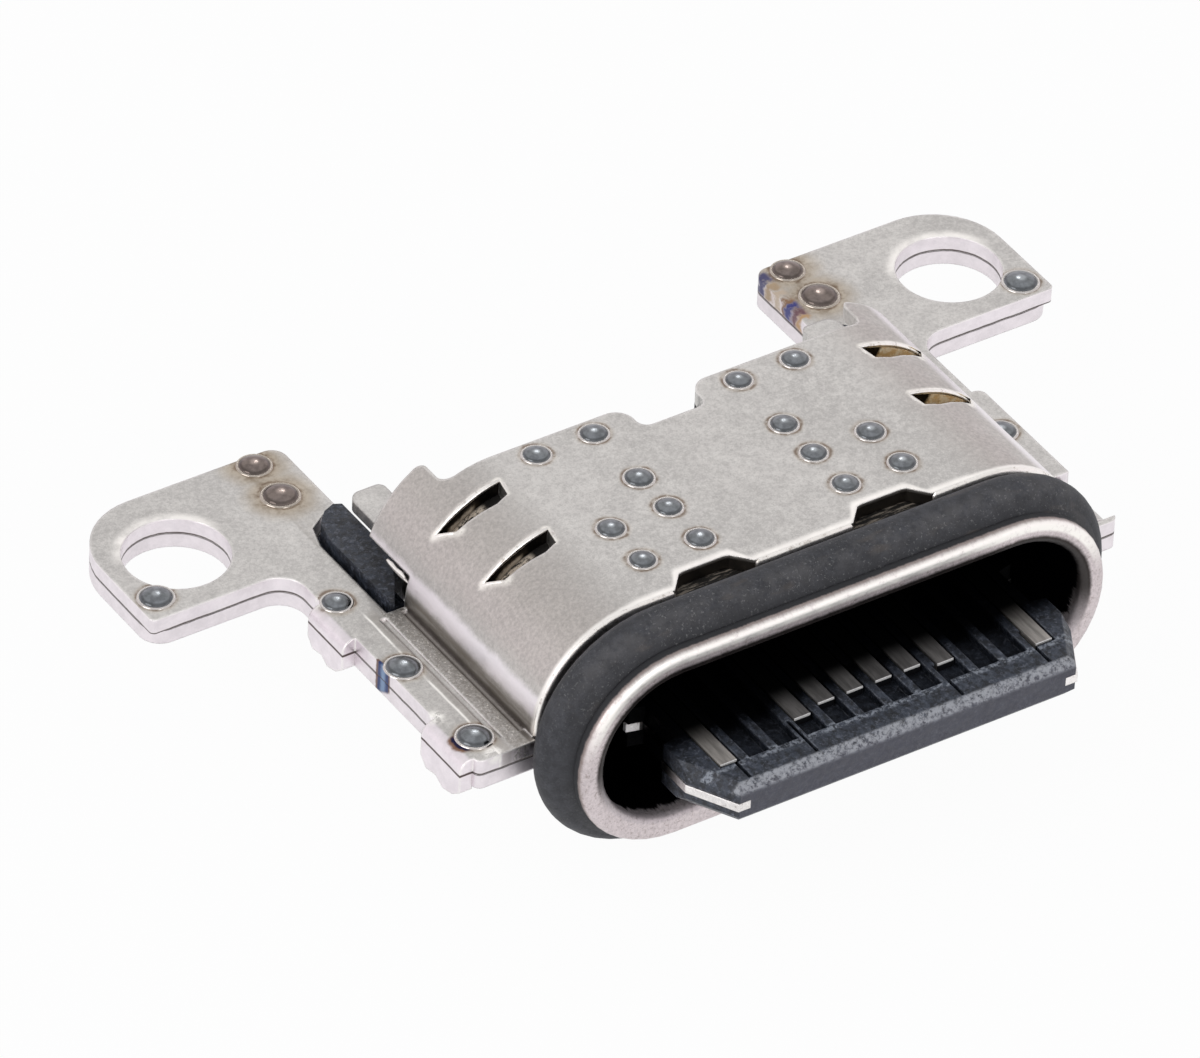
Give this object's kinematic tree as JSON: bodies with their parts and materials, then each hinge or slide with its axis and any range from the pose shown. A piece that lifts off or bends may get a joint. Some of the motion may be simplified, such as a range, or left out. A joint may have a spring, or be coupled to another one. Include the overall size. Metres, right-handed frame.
{
  "type": "usb-c socket",
  "caption": "USB-C receptacle with welded sheet covers, screw ears, a rubber seal round the mouth and a tongue that stands proud of its lip.",
  "frame": {"origin": "midway between the two screw holes, on the ears' seating face", "axes": "+X from ear to ear, -Y out of the mouth, +Z towards the upper cover"},
  "size_m": [0.016, 0.0105, 0.0041],
  "materials": {
    "cover_steel": "satin",
    "shell_steel": "satin",
    "plate_steel": "satin",
    "seal_rubber": "matte",
    "black_moulding": "matte",
    "insulator_moulding": "matte",
    "contact_alloy": "satin"
  },
  "bodies": {
    "root": {"top_cover": "cover_steel", "bottom_cover": "cover_steel", "inner_shell": "shell_steel", "seal_ring": "seal_rubber", "tongue_housing": "black_moulding", "mid_plate": "plate_steel", "upper_insulator": "insulator_moulding", "lower_insulator": "insulator_moulding", "contact_a1": "contact_alloy", "contact_a4": "contact_alloy", "contact_a5": "contact_alloy", "contact_a6": "contact_alloy", "contact_a7": "contact_alloy", "contact_a8": "contact_alloy", "contact_a9": "contact_alloy", "contact_a12": "contact_alloy", "contact_b12": "contact_alloy", "contact_b9": "contact_alloy", "contact_b8": "contact_alloy", "contact_b7": "contact_alloy", "contact_b6": "contact_alloy", "contact_b5": "contact_alloy", "contact_b4": "contact_alloy", "contact_b1": "contact_alloy"}
  },
  "joints": []
}
